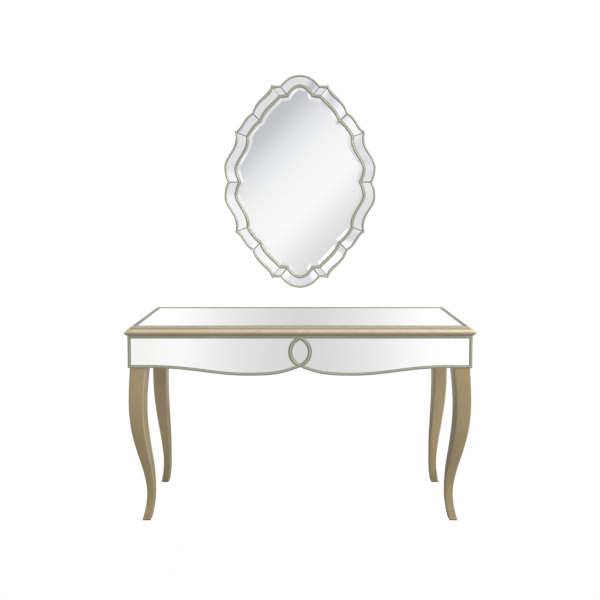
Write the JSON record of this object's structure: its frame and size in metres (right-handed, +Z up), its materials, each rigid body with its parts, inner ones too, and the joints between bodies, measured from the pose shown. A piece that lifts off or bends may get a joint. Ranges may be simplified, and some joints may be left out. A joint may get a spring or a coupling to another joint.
{
  "type": "vanity table with wall mirror",
  "caption": "Mirrored vanity table on curved legs with a scalloped lower edge and a lens motif, and a scalloped mirror that hangs on the wall above it.",
  "frame": {"origin": "on the floor, in the middle of the table's plan", "axes": "+X to the right for a viewer in front, +Y towards the wall, +Z up"},
  "size_m": [1.37, 0.39, 1.872],
  "materials": {
    "champagne_lacquer": "champagne metallic lacquer, satin",
    "mirror_glass": "silvered, polished",
    "painted_fibreboard": "dark paint, matt",
    "zinc_plated_steel": "zinc plated",
    "rubber": "matt"
  },
  "bodies": {
    "table": {"front_moulding": "champagne_lacquer", "back_moulding": "champagne_lacquer", "left_moulding": "champagne_lacquer", "right_moulding": "champagne_lacquer", "top_glass": "mirror_glass", "top_panel": "painted_fibreboard", "front_apron": "champagne_lacquer", "back_apron": "champagne_lacquer", "left_apron": "champagne_lacquer", "right_apron": "champagne_lacquer", "left_ribbon": "champagne_lacquer", "right_ribbon": "champagne_lacquer", "lens_left_arc": "champagne_lacquer", "left_top_trim": "champagne_lacquer", "right_top_trim": "champagne_lacquer", "left_end_trim": "champagne_lacquer", "right_end_trim": "champagne_lacquer", "front_glass_left": "mirror_glass", "front_glass_right": "mirror_glass", "lens_glass": "mirror_glass", "left_end_frame": "champagne_lacquer", "right_end_frame": "champagne_lacquer", "left_end_glass": "mirror_glass", "right_end_glass": "mirror_glass", "front_left_leg": "champagne_lacquer", "front_right_leg": "champagne_lacquer", "back_right_leg": "champagne_lacquer", "back_left_leg": "champagne_lacquer", "front_left_bracket": "zinc_plated_steel", "front_right_bracket": "zinc_plated_steel", "back_right_bracket": "zinc_plated_steel", "back_left_bracket": "zinc_plated_steel"},
    "wall_mirror": {"mirror_board": "painted_fibreboard", "outer_rim": "champagne_lacquer", "inner_rim": "champagne_lacquer", "centre_glass": "mirror_glass", "border_shoulder_right": "mirror_glass", "border_upper_long_right": "mirror_glass", "border_upper_short_right": "mirror_glass", "border_upper_side_right": "mirror_glass", "border_lower_side_right": "mirror_glass", "border_lower_short_right": "mirror_glass", "border_lower_long_right": "mirror_glass", "border_foot_right": "mirror_glass", "border_shoulder_left": "mirror_glass", "border_upper_long_left": "mirror_glass", "border_upper_short_left": "mirror_glass", "border_upper_side_left": "mirror_glass", "border_lower_side_left": "mirror_glass", "border_lower_short_left": "mirror_glass", "border_lower_long_left": "mirror_glass", "border_foot_left": "mirror_glass", "border_top": "mirror_glass", "border_bottom": "mirror_glass", "left_strap": "zinc_plated_steel", "right_strap": "zinc_plated_steel", "left_bumper": "rubber", "right_bumper": "rubber"},
    "left_ring": {"left_ring": "zinc_plated_steel"},
    "right_ring": {"right_ring": "zinc_plated_steel"}
  },
  "joints": [
    {"name": "mirror_lift", "type": "slide", "parent": "table", "child": "wall_mirror", "axis": [0, 0, 1], "range_m": [0, 0.03]},
    {"name": "left_ring_swing", "type": "hinge", "parent": "wall_mirror", "child": "left_ring", "pos_m": [-0.15, 0.1904, 1.6305], "axis": [1, 0, 0], "range_deg": [0, 180]},
    {"name": "right_ring_swing", "type": "hinge", "parent": "wall_mirror", "child": "right_ring", "pos_m": [0.15, 0.1904, 1.6305], "axis": [1, 0, 0], "range_deg": [0, 180]}
  ]
}
